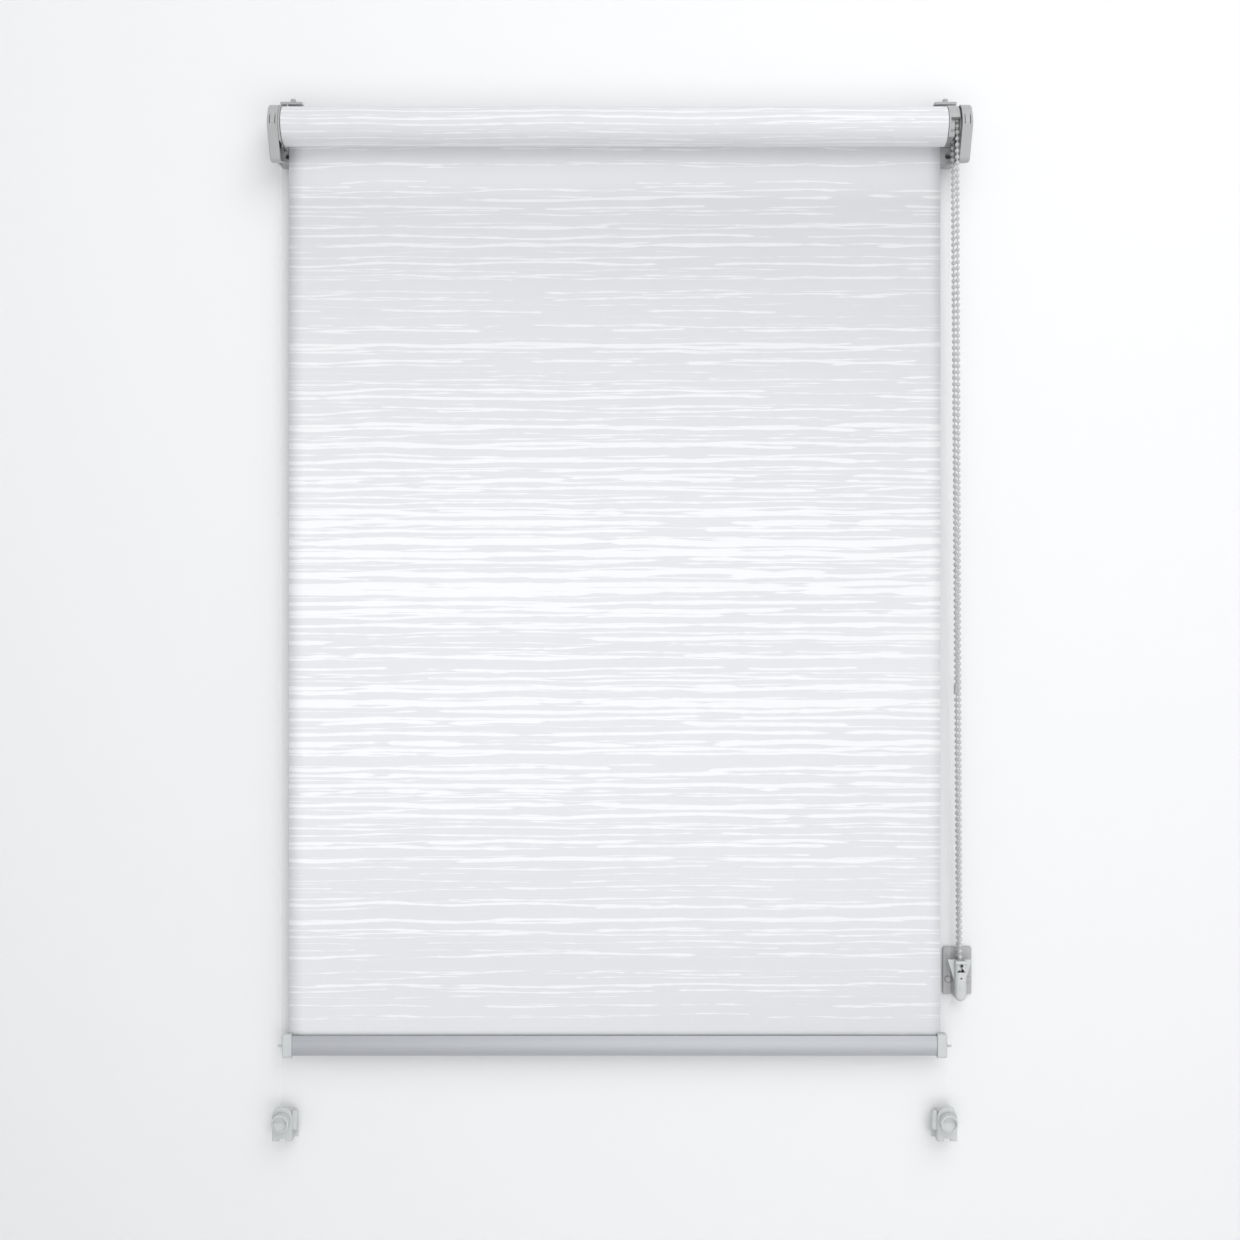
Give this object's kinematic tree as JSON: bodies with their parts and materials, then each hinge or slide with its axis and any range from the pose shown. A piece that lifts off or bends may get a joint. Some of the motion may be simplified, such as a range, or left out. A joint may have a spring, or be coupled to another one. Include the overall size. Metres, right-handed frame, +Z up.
{
  "type": "roller blind",
  "caption": "Chain-operated roller blind for wall mounting, with a fabric screen, bottom bar, side covers, chain tensioner and guide lines with holders.",
  "frame": {"origin": "centre of the four wall screw holes, on the wall plane, level with the roller axis", "axes": "+X along the roller towards the chain, +Y into the wall, +Z up"},
  "size_m": [0.702, 0.0602, 1.0432],
  "materials": {
    "roller_fabric": "woven polyester with a brushed white stripe print",
    "satin_aluminium": "satin anodised extrusion",
    "chain_plastic": "moulded bead chain, light grey",
    "clear_nylon": "clear nylon monofilament",
    "spring_steel": "drawn steel wire",
    "clear_strip": "milky plastic strip",
    "cap_plastic": "moulded grey plastic, fine satin",
    "inner_plastic": "moulded natural plastic",
    "housing_plastic": "moulded light grey plastic, fine satin"
  },
  "bodies": {
    "frame": {"bead_chain": "chain_plastic", "brake_spring": "spring_steel", "chain_connector": "chain_plastic", "chain_housing": "housing_plastic", "clutch_core": "inner_plastic", "hanging_fabric": "roller_fabric", "idle_spring": "spring_steel", "left_bracket": "housing_plastic", "left_clamp_plate": "cap_plastic", "left_guide_line": "clear_nylon", "left_holder_body": "cap_plastic", "left_line_anchor": "housing_plastic", "left_top_plug": "housing_plastic", "right_bracket": "housing_plastic", "right_clamp_plate": "cap_plastic", "right_guide_line": "clear_nylon", "right_holder_body": "cap_plastic", "right_line_anchor": "housing_plastic", "right_top_plug": "housing_plastic", "tensioner_caps": "housing_plastic", "tensioner_plate": "housing_plastic"},
    "roller": {"roller_tube": "satin_aluminium", "fabric_roll": "roller_fabric", "adhesive_strip": "clear_strip", "idle_plug": "inner_plastic", "drive_plug": "inner_plastic", "chain_wheel": "inner_plastic"},
    "idle_pin": {"idle_pin": "inner_plastic"},
    "bar": {"bottom_bar": "satin_aluminium", "insert_strip": "clear_strip", "left_bar_cap": "cap_plastic", "right_bar_cap": "cap_plastic", "left_line_hook": "cap_plastic", "right_line_hook": "cap_plastic"},
    "tensioner_carriage": {"tensioner_carriage": "cap_plastic", "pulley_axle": "spring_steel"},
    "tensioner_pulley": {"tensioner_pulley": "inner_plastic"},
    "left_knob": {"left_tension_knob": "cap_plastic"},
    "right_knob": {"right_tension_knob": "cap_plastic"},
    "left_cover": {"left_cover": "housing_plastic"},
    "right_cover": {"right_cover": "housing_plastic"}
  },
  "joints": [
    {"name": "roller_spin", "type": "hinge", "parent": "frame", "child": "roller", "pos_m": [0, -0.038, 0], "axis": [1, 0, 0], "range_deg": [0, 2539]},
    {"name": "bar_lift", "type": "slide", "parent": "frame", "child": "bar", "axis": [0, 0, 1], "range_m": [0, 0.86], "deforming": ["hanging_fabric"]},
    {"name": "tensioner_slide", "type": "slide", "parent": "frame", "child": "tensioner_carriage", "axis": [0, 0, 1], "range_m": [0, 0.006], "deforming": ["bead_chain"]},
    {"name": "tensioner_pulley_spin", "type": "hinge", "parent": "tensioner_carriage", "child": "tensioner_pulley", "pos_m": [0.3428, -0.0115, -0.857], "axis": [1, 0, 0], "range_deg": [0, 5779]},
    {"name": "idle_pin_slide", "type": "slide", "parent": "roller", "child": "idle_pin", "axis": [1, 0, 0], "range_m": [0, 0.004], "stiffness_N_per_m": 600, "springref_m": -0.003, "deforming": ["idle_spring"]},
    {"name": "left_knob_turn", "type": "hinge", "parent": "frame", "child": "left_knob", "pos_m": [-0.3349, -0.03, -0.9854], "axis": [0, -1, 0], "continuous": true},
    {"name": "right_knob_turn", "type": "hinge", "parent": "frame", "child": "right_knob", "pos_m": [0.3282, -0.03, -0.9854], "axis": [0, -1, 0], "continuous": true},
    {"name": "left_cover_slide", "type": "slide", "parent": "frame", "child": "left_cover", "axis": [-1, 0, 0], "range_m": [0, 0.012]},
    {"name": "right_cover_slide", "type": "slide", "parent": "frame", "child": "right_cover", "axis": [1, 0, 0], "range_m": [0, 0.012]}
  ],
  "couplings": [
    {"joint": "bar_lift", "follows": "roller_spin", "m_per_rad": 0.0194},
    {"joint": "tensioner_pulley_spin", "follows": "roller_spin", "ratio": 2.274}
  ]
}
